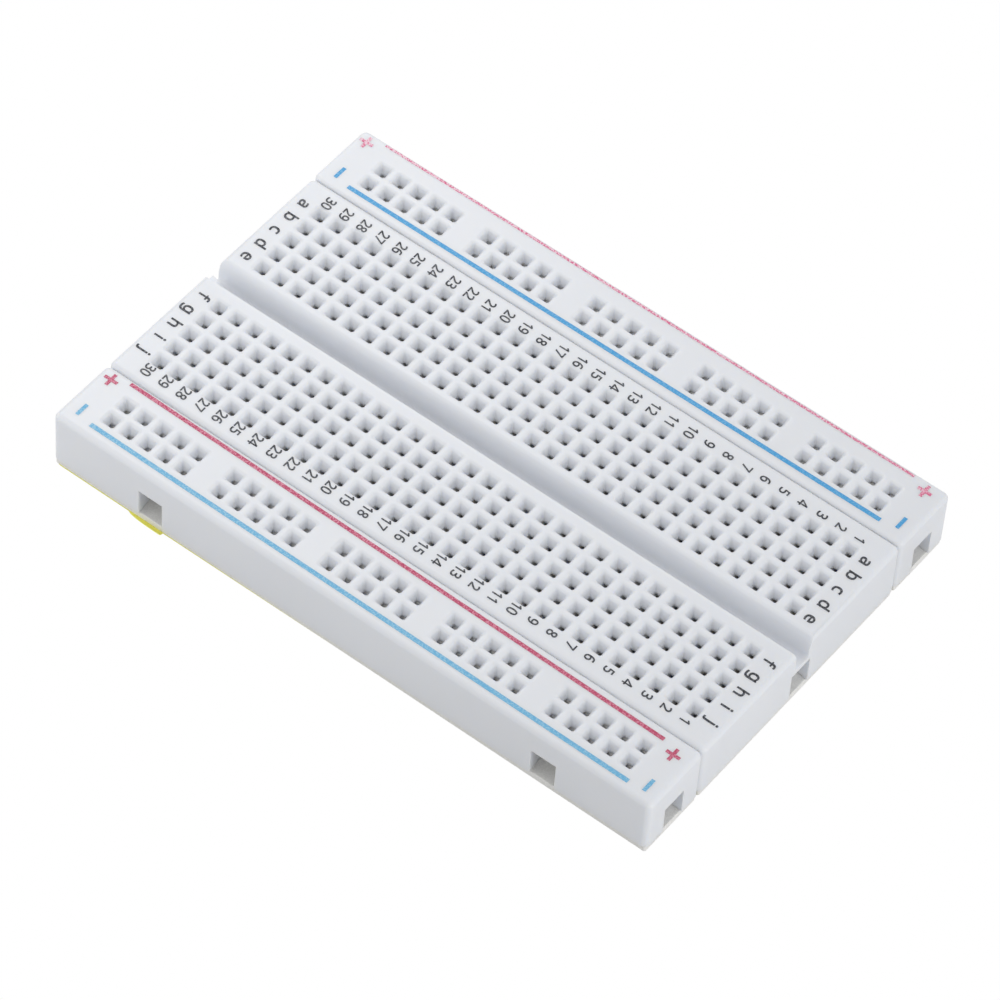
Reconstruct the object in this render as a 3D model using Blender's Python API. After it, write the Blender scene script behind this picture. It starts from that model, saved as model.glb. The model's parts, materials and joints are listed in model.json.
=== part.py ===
"""Half-size solderless breadboard: a terminal block between two clip-on power rails.

Units are metres and +Z is up. The origin lies on the surface that the board rests on, under
the middle of the field of tie points. +X runs along the board towards row 1, and +Y runs
across it, from columns f-j towards columns a-e. "Near" is the -Y side and "far" the +Y side.
"""
import bpy
import bmesh
from mathutils import Vector

# Tie points: square holes on the 0.1 inch grid, each with a funnel that guides the wire in.
PITCH = 0.00254
ROWS = 30
HOLES_PER_CLIP = 5
BANK_CENTRE_Y = 3.5 * PITCH
FUNNEL_MOUTH = 0.0021
FUNNEL_DEPTH = 0.0012
TIE_HOLE = 0.0007

# Power rails: two rows of holes each, in five groups of five with one hole left out between.
RAIL_GROUPS = 5
RAIL_GROUP_PITCH = 6 * PITCH
RAIL_CENTRE_Y = 0.02247

# Levels above the surface that the board rests on.
LINER_THICKNESS = 0.0001
GLUE_LINE = 0.00002
FOAM_TOP = 0.00098
SHELL_BOTTOM = 0.0010
SHELL_TOP = 0.0085

# Plan sizes of the three mouldings.
BOARD_LENGTH = 0.0820
BLOCK_WIDTH = 0.0357
RAIL_WIDTH = 0.00935
SEAM = 0.0001
CORNER_RADIUS = 0.0010
TOP_EDGE_RADIUS = 0.0005

# The trough between columns e and f, open at both ends.
TROUGH_WIDTH = 0.0026
TROUGH_FLOOR_WIDTH = 0.0024
TROUGH_DEPTH = 0.0030

# Dovetails that join the mouldings to each other and one board to the next.
NOTCH_X = 0.0271
NOTCH_MOUTH = 0.0033
NOTCH_BACK = 0.0039
NOTCH_DEPTH = 0.0016
NOTCH_TOP = 0.0049
TAB_NECK = 0.0030
TAB_HEAD = 0.0036
TAB_REACH = 0.0013
TAB_TOP = 0.00475

# Slots that hold the spring clips, open at the underside.
SLOT_WIDTH = 0.0019
SLOT_END_WALL = 0.00117
SLOT_CEILING = 0.0064

# Spring clips: a folded channel whose two leaves lean together under the tie points.
CLIP_GAUGE = 0.00018
CLIP_HALF_WIDTH = 0.00078
CLIP_BOTTOM = 0.00104
CLIP_SHOULDER = 0.0036
CLIP_TOP = 0.0061
CLIP_NIP = 0.00008
CLIP_END_GAP = 0.0003
MODELLED_CLIP_ROWS = 24

# The foam stops a little short of the mouldings, and the liner's lip shows under the near rail.
FOAM_INSET = 0.0002
LINER_INSET = 0.0001
LIP_START_X = -0.0303
LIP_END_X = -0.0254
LIP_REACH = 0.0005
LIP_SLANT = 0.0008

CUT_THROUGH = 0.0004

BLOCK_EDGE = BLOCK_WIDTH / 2
RAIL_INNER_EDGE = BLOCK_EDGE + SEAM
RAIL_OUTER_EDGE = RAIL_INNER_EDGE + RAIL_WIDTH
BOARD_END = BOARD_LENGTH / 2
FUNNEL_BOTTOM = SHELL_TOP - FUNNEL_DEPTH


def make_material(name, colour, roughness, metallic):
    """A Principled material of one colour."""
    material = bpy.data.materials.new(name)
    material.use_nodes = True
    shader = material.node_tree.nodes["Principled BSDF"]
    shader.inputs["Base Color"].default_value = (*colour, 1.0)
    shader.inputs["Roughness"].default_value = roughness
    shader.inputs["Metallic"].default_value = metallic
    material.diffuse_color = (*colour, 1.0)
    return material


def make_object(name, mesh, parent=None, location=(0.0, 0.0, 0.0)):
    """Places a mesh in the scene under its module's empty."""
    piece = bpy.data.objects.new(name, mesh)
    piece.location = location
    piece.parent = parent
    bpy.context.scene.collection.objects.link(piece)
    return piece


def make_mesh(name, shape, material=None):
    """Turns a finished bmesh into a mesh with its faces pointing out."""
    bmesh.ops.recalc_face_normals(shape, faces=shape.faces)
    mesh = bpy.data.meshes.new(name)
    shape.to_mesh(mesh)
    shape.free()
    if material is not None:
        mesh.materials.append(material)
    return mesh


def make_empty(name):
    """The empty that carries one module of the board."""
    empty = bpy.data.objects.new(name, None)
    empty.empty_display_size = 0.01
    bpy.context.scene.collection.objects.link(empty)
    return empty


def cut_with(piece, cutter_mesh, location=(0.0, 0.0, 0.0)):
    """Cuts a piece with a mesh that is itself left out of the model."""
    cutter = make_object(cutter_mesh.name, cutter_mesh, piece.parent, location)
    cutter.hide_render = True
    cutter.display_type = "WIRE"
    boolean = piece.modifiers.new(cutter_mesh.name, "BOOLEAN")
    boolean.operation = "DIFFERENCE"
    boolean.solver = "EXACT"
    boolean.object = cutter


def extrude_outline(shape, outline, direction):
    """Adds a closed prism: an outline of 3-D points swept along a direction."""
    base = shape.faces.new([shape.verts.new(point) for point in outline])
    swept = bmesh.ops.extrude_face_region(shape, geom=[base])
    moved = [item for item in swept["geom"] if isinstance(item, bmesh.types.BMVert)]
    bmesh.ops.translate(shape, vec=direction, verts=moved)


def add_box(shape, low, high):
    """Adds a box between two corners."""
    outline = [(low[0], low[1], low[2]), (high[0], low[1], low[2]),
               (high[0], high[1], low[2]), (low[0], high[1], low[2])]
    extrude_outline(shape, outline, Vector((0.0, 0.0, high[2] - low[2])))


def add_square_stack(shape, centre, levels):
    """Adds a column of square sections, each level being (height, width)."""
    sections = []
    for height, width in levels:
        half = width / 2
        corners = ((-half, -half), (half, -half), (half, half), (-half, half))
        sections.append([shape.verts.new((centre[0] + x, centre[1] + y, height)) for x, y in corners])
    shape.faces.new(sections[0])
    shape.faces.new(sections[-1])
    for lower, upper in zip(sections, sections[1:]):
        for side in range(4):
            after = (side + 1) % 4
            shape.faces.new((lower[side], lower[after], upper[after], upper[side]))


def dovetail_outline(root, outward, root_width, tip_width, reach, height):
    """Corners of a dovetail that leaves a wall at root, in the direction outward."""
    along = Vector((-outward.y, outward.x, 0.0))
    tip = root + outward * reach
    corners = [root - along * root_width / 2, root + along * root_width / 2,
               tip + along * tip_width / 2, tip - along * tip_width / 2]
    return [(corner.x, corner.y, height) for corner in corners]


def add_tab(shape, root, outward):
    """A dovetail tab standing out of a wall, from the underside up to TAB_TOP."""
    buried = CUT_THROUGH
    slope = (TAB_HEAD - TAB_NECK) / TAB_REACH
    start = root - outward * buried
    outline = dovetail_outline(start, outward, TAB_NECK - slope * buried, TAB_HEAD,
                               TAB_REACH + buried, SHELL_BOTTOM)
    extrude_outline(shape, outline, Vector((0.0, 0.0, TAB_TOP - SHELL_BOTTOM)))


def add_notch(shape, root, inward, bottom, top):
    """A dovetail pocket cut into a wall; it widens with depth so that a tab can't pull out."""
    slope = (NOTCH_BACK - NOTCH_MOUTH) / NOTCH_DEPTH
    start = root - inward * CUT_THROUGH
    outline = dovetail_outline(start, inward, NOTCH_MOUTH - slope * CUT_THROUGH, NOTCH_BACK,
                               NOTCH_DEPTH + CUT_THROUGH, bottom)
    extrude_outline(shape, outline, Vector((0.0, 0.0, top - bottom)))


def side_roots(edge_y):
    """Where the two dovetails of a long side sit, for a side at edge_y."""
    return [Vector((x, edge_y, 0.0)) for x in (-NOTCH_X, NOTCH_X)]


def moulding_blank(near_y, far_y):
    """A moulding before it is cut: a block with rounded corners and eased top edges."""
    shape = bmesh.new()
    add_box(shape, (-BOARD_END, near_y, SHELL_BOTTOM), (BOARD_END, far_y, SHELL_TOP))
    upright = [edge for edge in shape.edges
               if abs(edge.verts[0].co.z - edge.verts[1].co.z) > CUT_THROUGH]
    bmesh.ops.bevel(shape, geom=upright, offset=CORNER_RADIUS, offset_type="OFFSET", segments=2,
                    profile=0.5, affect="EDGES", material=-1)
    rim = [edge for edge in shape.edges if min(v.co.z for v in edge.verts) > SHELL_TOP - CUT_THROUGH]
    bmesh.ops.bevel(shape, geom=rim, offset=TOP_EDGE_RADIUS, offset_type="OFFSET", segments=1,
                    profile=0.5, affect="EDGES", material=-1)
    return shape


def make_moulding(name, near_y, far_y, end_y, tie_points, slots, parent, material):
    """One white moulding, with its tabs, notches, clip slots and tie points.

    The far side and the -X end carry tabs; the near side and the +X end have notches.
    """
    moulding = make_object(name, make_mesh(name, moulding_blank(near_y, far_y), material), parent)

    tabs = bmesh.new()
    for root in side_roots(far_y):
        add_tab(tabs, root, Vector((0.0, 1.0, 0.0)))
    add_tab(tabs, Vector((-BOARD_END, end_y, 0.0)), Vector((-1.0, 0.0, 0.0)))
    tab_piece = make_object(name + "_tabs", make_mesh(name + "_tabs", tabs, material), parent)
    tab_piece.hide_render = True
    tab_piece.display_type = "WIRE"
    union = moulding.modifiers.new("tabs", "BOOLEAN")
    union.operation = "UNION"
    union.solver = "EXACT"
    union.object = tab_piece

    notches = bmesh.new()
    below = SHELL_BOTTOM - CUT_THROUGH
    for root in side_roots(near_y):
        add_notch(notches, root, Vector((0.0, 1.0, 0.0)), below, NOTCH_TOP)
    add_notch(notches, Vector((BOARD_END, end_y, 0.0)), Vector((-1.0, 0.0, 0.0)), below, NOTCH_TOP)
    cut_with(moulding, make_mesh(name + "_notches", notches))

    slot_shape = bmesh.new()
    for low_x, low_y, high_x, high_y in slots:
        add_box(slot_shape, (low_x, low_y, below), (high_x, high_y, SLOT_CEILING))
    cut_with(moulding, make_mesh(name + "_slots", slot_shape))

    flare = (FUNNEL_MOUTH - TIE_HOLE) / FUNNEL_DEPTH
    levels = ((SLOT_CEILING - CUT_THROUGH, TIE_HOLE), (FUNNEL_BOTTOM, TIE_HOLE),
              (SHELL_TOP + CUT_THROUGH / 2, FUNNEL_MOUTH + flare * CUT_THROUGH / 2))
    holes = bmesh.new()
    for point in tie_points:
        add_square_stack(holes, point, levels)
    cut_with(moulding, make_mesh(name + "_tie_points", holes))
    return moulding


def row_x(row):
    """Place along the board of a numbered row; row 1 is at the +X end."""
    return ((ROWS + 1) / 2 - row) * PITCH


def bank_columns(side):
    """Places across the board of a bank's five columns; side is +1 for a-e and -1 for f-j."""
    middle = (HOLES_PER_CLIP - 1) / 2
    return [side * (BANK_CENTRE_Y + (middle - column) * PITCH) for column in range(HOLES_PER_CLIP)]


def rail_columns():
    """Places along the board of one rail row's tie points."""
    places = []
    for group in range(RAIL_GROUPS):
        group_x = (group - (RAIL_GROUPS - 1) / 2) * RAIL_GROUP_PITCH
        for hole in range(HOLES_PER_CLIP):
            places.append(group_x + (hole - (HOLES_PER_CLIP - 1) / 2) * PITCH)
    return places


def rail_rows(side):
    """Places across the board of a rail's two rows, the nearer one first."""
    centre = side * RAIL_CENTRE_Y
    return [centre - PITCH / 2, centre + PITCH / 2]


def make_terminal_block(parent, material):
    """The centre moulding, with two banks of tie points and the trough between them."""
    half_slot = (HOLES_PER_CLIP - 1) / 2 * PITCH + SLOT_END_WALL
    tie_points = []
    slots = []
    for row in range(1, ROWS + 1):
        for side in (1, -1):
            tie_points += [(row_x(row), y) for y in bank_columns(side)]
            bank_y = side * BANK_CENTRE_Y
            slots.append((row_x(row) - SLOT_WIDTH / 2, bank_y - half_slot,
                          row_x(row) + SLOT_WIDTH / 2, bank_y + half_slot))
    block = make_moulding("terminal_block", -BLOCK_EDGE, BLOCK_EDGE, 0.0, tie_points, slots,
                          parent, material)

    slope = (TROUGH_WIDTH - TROUGH_FLOOR_WIDTH) / TROUGH_DEPTH
    mouth = TROUGH_WIDTH / 2 + slope / 2 * CUT_THROUGH
    floor = TROUGH_FLOOR_WIDTH / 2
    start = -BOARD_END - CUT_THROUGH
    trough = bmesh.new()
    outline = [(start, -floor, SHELL_TOP - TROUGH_DEPTH), (start, floor, SHELL_TOP - TROUGH_DEPTH),
               (start, mouth, SHELL_TOP + CUT_THROUGH), (start, -mouth, SHELL_TOP + CUT_THROUGH)]
    extrude_outline(trough, outline, Vector((BOARD_LENGTH + 2 * CUT_THROUGH, 0.0, 0.0)))
    cut_with(block, make_mesh("terminal_block_trough", trough))
    return block


def make_power_rail(name, side, parent, material):
    """A narrow moulding with two rows of tie points over two long slots."""
    edges = sorted((side * RAIL_INNER_EDGE, side * RAIL_OUTER_EDGE))
    columns = rail_columns()
    tie_points = []
    slots = []
    for row_y in rail_rows(side):
        tie_points += [(x, row_y) for x in columns]
        slots.append((columns[0] - SLOT_END_WALL, row_y - SLOT_WIDTH / 2,
                      columns[-1] + SLOT_END_WALL, row_y + SLOT_WIDTH / 2))
    end_y = (edges[0] + edges[1]) / 2
    return make_moulding(name, edges[0], edges[1], end_y, tie_points, slots, parent, material)


def channel_profile():
    """Section of a spring contact, as (across, height): a floor and two leaning leaves."""
    inner = CLIP_HALF_WIDTH - CLIP_GAUGE
    right = [(CLIP_HALF_WIDTH, CLIP_BOTTOM), (CLIP_HALF_WIDTH, CLIP_SHOULDER),
             (CLIP_NIP + CLIP_GAUGE, CLIP_TOP), (CLIP_NIP, CLIP_TOP),
             (inner, CLIP_SHOULDER), (inner, CLIP_BOTTOM + CLIP_GAUGE)]
    left = [(-across, height) for across, height in reversed(right)]
    return right + left


def channel_mesh(name, length, along, material):
    """A spring contact of the given length, centred, running along the X or the Y axis."""
    shape = bmesh.new()
    start = -length / 2
    if along == "X":
        outline = [(start, across, height) for across, height in channel_profile()]
        direction = Vector((length, 0.0, 0.0))
    else:
        outline = [(across, start, height) for across, height in channel_profile()]
        direction = Vector((0.0, length, 0.0))
    extrude_outline(shape, outline, direction)
    return make_mesh(name, shape, material)


def make_clips(parent, material):
    """The five-hole clips under the rows, one object each, sharing one mesh."""
    length = (HOLES_PER_CLIP - 1) * PITCH + 2 * (SLOT_END_WALL - CLIP_END_GAP)
    mesh = channel_mesh("spring_clip", length, "Y", material)
    for row in range(1, MODELLED_CLIP_ROWS + 1):
        for bank, side in (("a_e", 1), ("f_j", -1)):
            place = (row_x(row), side * BANK_CENTRE_Y, 0.0)
            make_object(f"clip_row_{row:02d}_{bank}", mesh, parent, place)


def make_rail_strips(rail_name, side, parent, material):
    """The two long contact strips of a power rail, the minus strip on the -Y side."""
    columns = rail_columns()
    length = columns[-1] - columns[0] + 2 * (SLOT_END_WALL - CLIP_END_GAP)
    mesh = channel_mesh(rail_name + "_strip", length, "X", material)
    for sign, row_y in zip(("minus", "plus"), rail_rows(side)):
        make_object(f"{rail_name}_{sign}_strip", mesh, parent, (0.0, row_y, 0.0))


def make_foam(name, near_y, far_y, relieved, parent, material):
    """Adhesive foam under one moulding, relieved where a neighbour's tabs come up through it."""
    bottom = LINER_THICKNESS + GLUE_LINE
    shape = bmesh.new()
    add_box(shape, (FOAM_INSET - BOARD_END, near_y + FOAM_INSET, bottom),
            (BOARD_END - FOAM_INSET, far_y - FOAM_INSET, FOAM_TOP))
    foam = make_object(name, make_mesh(name, shape, material), parent)
    if relieved:
        reliefs = bmesh.new()
        for root in side_roots(near_y):
            add_notch(reliefs, root, Vector((0.0, 1.0, 0.0)), 0.0, SHELL_BOTTOM + CUT_THROUGH)
        cut_with(foam, make_mesh(name + "_reliefs", reliefs))
    return foam


def make_liner(parent, material):
    """The release liner, a thin sheet with a lip that shows under the near rail."""
    end = BOARD_END - LINER_INSET
    side = RAIL_OUTER_EDGE - LINER_INSET
    lip = RAIL_OUTER_EDGE + LIP_REACH
    outline = [(-end, -side), (LIP_START_X, -side), (LIP_START_X + LIP_SLANT, -lip),
               (LIP_END_X, -lip), (LIP_END_X, -side), (end, -side), (end, side), (-end, side)]
    shape = bmesh.new()
    extrude_outline(shape, [(x, y, 0.0) for x, y in outline], Vector((0.0, 0.0, LINER_THICKNESS)))
    return make_object("release_liner", make_mesh("release_liner", shape, material), parent)


def main():
    for leftover in list(bpy.data.objects):
        bpy.data.objects.remove(leftover)

    plastic = make_material("white_abs", (0.83, 0.86, 0.89), 0.42, 0.0)
    metal = make_material("nickel_plated_bronze", (0.62, 0.60, 0.56), 0.30, 1.0)
    foam = make_material("adhesive_foam", (0.86, 0.87, 0.84), 0.90, 0.0)
    paper = make_material("yellow_liner", (0.86, 0.72, 0.25), 0.55, 0.0)

    liner_module = make_empty("liner_module")
    near_module = make_empty("near_rail_module")
    block_module = make_empty("terminal_block_module")
    far_module = make_empty("far_rail_module")
    near_module.parent = liner_module
    block_module.parent = near_module
    far_module.parent = block_module

    make_liner(liner_module, paper)
    make_power_rail("near_power_rail", -1, near_module, plastic)
    make_power_rail("far_power_rail", 1, far_module, plastic)
    make_terminal_block(block_module, plastic)
    make_foam("near_rail_foam", -RAIL_OUTER_EDGE, -RAIL_INNER_EDGE, False, near_module, foam)
    make_foam("terminal_block_foam", -BLOCK_EDGE, BLOCK_EDGE, True, block_module, foam)
    make_foam("far_rail_foam", RAIL_INNER_EDGE, RAIL_OUTER_EDGE, True, far_module, foam)
    make_rail_strips("near_rail", -1, near_module, metal)
    make_rail_strips("far_rail", 1, far_module, metal)
    make_clips(block_module, metal)


main()
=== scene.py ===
# %% [markdown]
# # A half-size solderless breadboard
# The real thing is three white mouldings that clip together on a sheet of sticky foam.
# Under every tie point sits a springy metal finger that grips a wire.
# The solid model already fixes every size, so this lesson starts by loading it, and only
# makes the surfaces, edges, springs and printing that a camera sees.

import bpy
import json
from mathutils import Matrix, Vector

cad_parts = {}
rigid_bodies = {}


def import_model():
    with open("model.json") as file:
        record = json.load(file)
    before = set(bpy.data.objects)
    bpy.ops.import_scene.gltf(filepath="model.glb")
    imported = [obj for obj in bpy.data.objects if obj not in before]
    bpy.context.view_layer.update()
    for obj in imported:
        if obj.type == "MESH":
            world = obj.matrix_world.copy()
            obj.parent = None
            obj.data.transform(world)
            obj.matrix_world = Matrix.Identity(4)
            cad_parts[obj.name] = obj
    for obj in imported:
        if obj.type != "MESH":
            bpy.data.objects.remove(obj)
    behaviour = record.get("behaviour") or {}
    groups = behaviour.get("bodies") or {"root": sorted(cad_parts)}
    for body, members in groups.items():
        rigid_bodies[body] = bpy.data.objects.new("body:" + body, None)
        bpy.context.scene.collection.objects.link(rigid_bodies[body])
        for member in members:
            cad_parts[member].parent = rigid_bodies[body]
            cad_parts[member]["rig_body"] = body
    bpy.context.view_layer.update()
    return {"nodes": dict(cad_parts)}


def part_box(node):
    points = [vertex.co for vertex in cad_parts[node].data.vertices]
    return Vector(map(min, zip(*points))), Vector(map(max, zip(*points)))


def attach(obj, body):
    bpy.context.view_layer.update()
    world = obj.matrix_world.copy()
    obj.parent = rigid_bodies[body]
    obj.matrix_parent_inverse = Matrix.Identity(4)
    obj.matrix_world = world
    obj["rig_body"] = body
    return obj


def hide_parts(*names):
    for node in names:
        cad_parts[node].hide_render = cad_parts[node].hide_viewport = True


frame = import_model()

# %% [markdown]
# ## Tools and driving sizes
# `bmesh` shapes meshes with the same operators as Edit Mode, and `mathutils` moves them.
# The outline of each moulding is read from the frame. A moulding's box also holds its tabs,
# which stand out of its far side and its left end, so the plain walls are read from the near
# side and the right end.

# %% Read the outline of each moulding
import json
import math

import bmesh
import bpy
from bmesh.types import BMEdge, BMFace, BMVert
from mathutils import Matrix, Vector

MM = 0.001
block_low, block_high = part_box("terminal_block")
near_low, near_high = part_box("near_power_rail")
far_low, far_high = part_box("far_power_rail")

board_end = block_high.x
block_edge = -block_low.y
rail_inner = far_low.y
rail_outer = -near_low.y
shell_bottom = block_low.z
shell_top = block_high.z
print("board", round(2000 * board_end, 2), "by", round(2000 * rail_outer, 2), "mm")

# %% [markdown]
# ## The tie-point grid
# Every hole sits on a tenth-of-an-inch grid. The middle block has thirty rows of two banks of
# five, and a power rail has two rows of holes in groups of five with one place left out.

# %% Lay out the tie points
PITCH = 2.54 * MM
ROWS = 30
HOLES_PER_CLIP = 5
BANK_CENTRE = 3.5 * PITCH
RAIL_CENTRE = 22.47 * MM
RAIL_GROUPS = 5
BANKS = (("a_e", 1), ("f_j", -1))
RAILS = (("near", -1), ("far", 1))


def row_x(row):
    """Place of a numbered row along the board; row 1 is at the right end."""
    return ((ROWS + 1) / 2 - row) * PITCH


def spread(count, pitch=PITCH):
    """Places of a centred run of equally spaced things."""
    return [(index - (count - 1) / 2) * pitch for index in range(count)]


rail_columns = [group + hole for group in spread(RAIL_GROUPS, 6 * PITCH)
                for hole in spread(HOLES_PER_CLIP)]
rail_rows = {name: (side * RAIL_CENTRE - PITCH / 2, side * RAIL_CENTRE + PITCH / 2)
             for name, side in RAILS}
block_points = [(row_x(row), side * BANK_CENTRE + y) for row in range(1, ROWS + 1)
                for _, side in BANKS for y in spread(HOLES_PER_CLIP)]
rail_points = {name: [(x, y) for y in rail_rows[name] for x in rail_columns]
               for name, _ in RAILS}
print(len(block_points), "tie points in the block,", len(rail_points["near"]), "in each rail")

# %% [markdown]
# ## Camera first
# A long lens from far away keeps the board's edges almost parallel, as in a catalogue.
# The camera looks at a point near the middle of the board, from the front right and high up,
# and it is rolled a few degrees.

# %% Place the camera
VIEW_TARGET = Vector((3.76, -5.13, 8.5)) * MM
VIEW_DISTANCE = 667.3 * MM
VIEW_AZIMUTH = math.radians(34.23)
VIEW_ELEVATION = math.radians(51.80)
VIEW_ROLL = math.radians(4.68)
LENS = 221.3


def place_camera():
    """A long-lens camera on a sphere around the target."""
    camera_data = bpy.data.cameras.new("camera")
    camera_data.lens = LENS
    camera_data.sensor_width = 36.0
    camera_data.clip_end = 10.0
    camera = bpy.data.objects.new("camera", camera_data)
    bpy.context.scene.collection.objects.link(camera)
    away = Vector((math.sin(VIEW_AZIMUTH) * math.cos(VIEW_ELEVATION),
                   -math.cos(VIEW_AZIMUTH) * math.cos(VIEW_ELEVATION),
                   math.sin(VIEW_ELEVATION)))
    turn = away.to_track_quat("Z", "Y").to_matrix().to_4x4() @ Matrix.Rotation(VIEW_ROLL, 4, "Z")
    camera.matrix_world = Matrix.Translation(VIEW_TARGET + away * VIEW_DISTANCE) @ turn
    bpy.context.scene.camera = camera
    return camera


camera = place_camera()
print("camera at", [round(value, 3) for value in camera.matrix_world.translation])

# %% [markdown]
# ## Small helpers
# Shapes are first built as loose meshes. `finish_piece` turns one into an object that sits at
# the origin, shades it, gives it a material and hangs it on the body that carries it.

# %% Helpers that turn a shape into a piece
def add_object(name, mesh):
    """Links a mesh to the scene as an object."""
    piece = bpy.data.objects.new(name, mesh)
    bpy.context.scene.collection.objects.link(piece)
    return piece


def to_mesh(name, shape, recalculate=True):
    """A mesh from a bmesh, with its faces pointing out."""
    if recalculate:
        bmesh.ops.recalc_face_normals(shape, faces=shape.faces)
    mesh = bpy.data.meshes.new(name)
    shape.to_mesh(mesh)
    shape.free()
    return mesh


def finish_piece(name, mesh, body, material, stands_for=(), smooth_angle=50):
    """Makes a mesh a finished piece of the board."""
    mesh.materials.clear()
    mesh.materials.append(material)
    mesh.shade_smooth()
    mesh.set_sharp_from_angle(angle=math.radians(smooth_angle))
    piece = add_object(name, mesh)
    weighted = piece.modifiers.new("weighted normals", "WEIGHTED_NORMAL")
    weighted.keep_sharp = True
    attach(piece, body)
    if stands_for:
        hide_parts(*stands_for)
    return piece


# %% [markdown]
# ## Shared surface effects
# Several finishes need the same two effects, so each is a node group with named inputs.
# *Moulded grain* mixes a broad, cloudy unevenness with a fine grain, as any moulded or rolled
# surface has. *Patchy ink* gives a mask with small gaps, where a print misses the surface.

# %% Build the shared node groups
def new_group(name, inputs, outputs):
    """An empty shader group; inputs are (name, default) and outputs are names."""
    group = bpy.data.node_groups.new(name, "ShaderNodeTree")
    for label, value in inputs:
        socket = group.interface.new_socket(label, in_out="INPUT", socket_type="NodeSocketFloat")
        socket.default_value = value
    group.interface.new_socket("Vector", in_out="INPUT", socket_type="NodeSocketVector")
    for label in outputs:
        group.interface.new_socket(label, in_out="OUTPUT", socket_type="NodeSocketFloat")
    return group, group.nodes.new("NodeGroupInput"), group.nodes.new("NodeGroupOutput")


def noise_in(tree, vector, scale, detail, roughness=0.55):
    """A noise texture; scale may be a number or another node's output."""
    noise = tree.nodes.new("ShaderNodeTexNoise")
    noise.inputs["Detail"].default_value = detail
    noise.inputs["Roughness"].default_value = roughness
    tree.links.new(vector, noise.inputs["Vector"])
    if isinstance(scale, (int, float)):
        noise.inputs["Scale"].default_value = scale
    else:
        tree.links.new(scale, noise.inputs["Scale"])
    return noise.outputs["Fac"]


def map_in(tree, value, low, high, to_low, to_high):
    """Maps a value from one range to another, clamped at both ends."""
    node = tree.nodes.new("ShaderNodeMapRange")
    tree.links.new(value, node.inputs["Value"])
    labels = ("From Min", "From Max", "To Min", "To Max")
    for label, number in zip(labels, (low, high, to_low, to_high)):
        if isinstance(number, (int, float)):
            node.inputs[label].default_value = number
        else:
            tree.links.new(number, node.inputs[label])
    return node.outputs["Result"]


def make_grain_group():
    """Broad clouds and a fine grain, each at its own scale."""
    group, start, end = new_group(
        "moulded grain", (("Cloud Scale", 60.0), ("Grain Scale", 2500.0)), ("Clouds", "Grain"))
    clouds = noise_in(group, start.outputs["Vector"], start.outputs["Cloud Scale"], 3.0)
    grain = noise_in(group, start.outputs["Vector"], start.outputs["Grain Scale"], 2.0)
    group.links.new(clouds, end.inputs["Clouds"])
    group.links.new(grain, end.inputs["Grain"])
    return group


def make_ink_group():
    """A mask that is 1 where ink took and falls towards 0 in specks and thin patches."""
    group, start, end = new_group(
        "patchy ink", (("Speck Scale", 5200.0), ("Missing", 0.40)), ("Coverage", "Relief"))
    speck = noise_in(group, start.outputs["Vector"], start.outputs["Speck Scale"], 2.0)
    cover = map_in(group, speck, start.outputs["Missing"], 0.56, 0.0, 1.0)
    group.links.new(cover, end.inputs["Coverage"])
    group.links.new(speck, end.inputs["Relief"])
    return group


grain_group = make_grain_group()
ink_group = make_ink_group()
print("shared groups:", grain_group.name, "and", ink_group.name)

# %% [markdown]
# ## Finishes
# Each material keeps its own Principled shader. Numbers that are the same all over sit on the
# shader's sockets, and only what changes over the surface comes through nodes.

# %% Helpers for materials
NOISE_RANGE = (0.3, 0.7)


def start_material(name, constants):
    """A material with constant Principled settings; returns it with its tree and shader."""
    material = bpy.data.materials.new(name)
    material.use_nodes = True
    tree = material.node_tree
    shader = tree.nodes["Principled BSDF"]
    for label, value in constants.items():
        shader.inputs[label].default_value = value
    return material, tree, shader


def object_coordinates(tree, stretch=(1.0, 1.0, 1.0)):
    """Object coordinates, stretched where a pattern has a direction."""
    place = tree.nodes.new("ShaderNodeTexCoord")
    mapping = tree.nodes.new("ShaderNodeMapping")
    mapping.inputs["Scale"].default_value = stretch
    tree.links.new(place.outputs["Object"], mapping.inputs["Vector"])
    return mapping.outputs["Vector"]


def place_group(tree, group, vector, **values):
    """Puts a shared group in a material with its own values."""
    node = tree.nodes.new("ShaderNodeGroup")
    node.node_tree = group
    tree.links.new(vector, node.inputs["Vector"])
    for label, value in values.items():
        node.inputs[label.replace("_", " ")].default_value = value
    return node


def vary_colour(tree, shader, factor, low, high):
    """Runs the base colour from low to high with a factor."""
    mix = tree.nodes.new("ShaderNodeMix")
    mix.data_type = "RGBA"
    mix.inputs["A"].default_value = (*low, 1.0)
    mix.inputs["B"].default_value = (*high, 1.0)
    tree.links.new(factor, mix.inputs["Factor"])
    tree.links.new(mix.outputs["Result"], shader.inputs["Base Color"])


def vary_roughness(tree, shader, noise, smooth, rough):
    """Runs the roughness over the range where most of a noise lies."""
    roughness = map_in(tree, noise, *NOISE_RANGE, smooth, rough)
    tree.links.new(roughness, shader.inputs["Roughness"])


def add_bump(tree, shader, height, distance, strength=1.0):
    """Feeds a height into the shader's normal."""
    bump = tree.nodes.new("ShaderNodeBump")
    bump.inputs["Strength"].default_value = strength
    bump.inputs["Distance"].default_value = distance
    tree.links.new(height, bump.inputs["Height"])
    tree.links.new(bump.outputs["Normal"], shader.inputs["Normal"])


# %% [markdown]
# ### White ABS
# The mouldings are a cool, slightly see-through white. Light enters the thin ribs and comes
# out again, which is subsurface scattering of about a millimetre. The gloss is satin, and a
# cloudy unevenness in it keeps the large faces from looking drawn.

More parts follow.
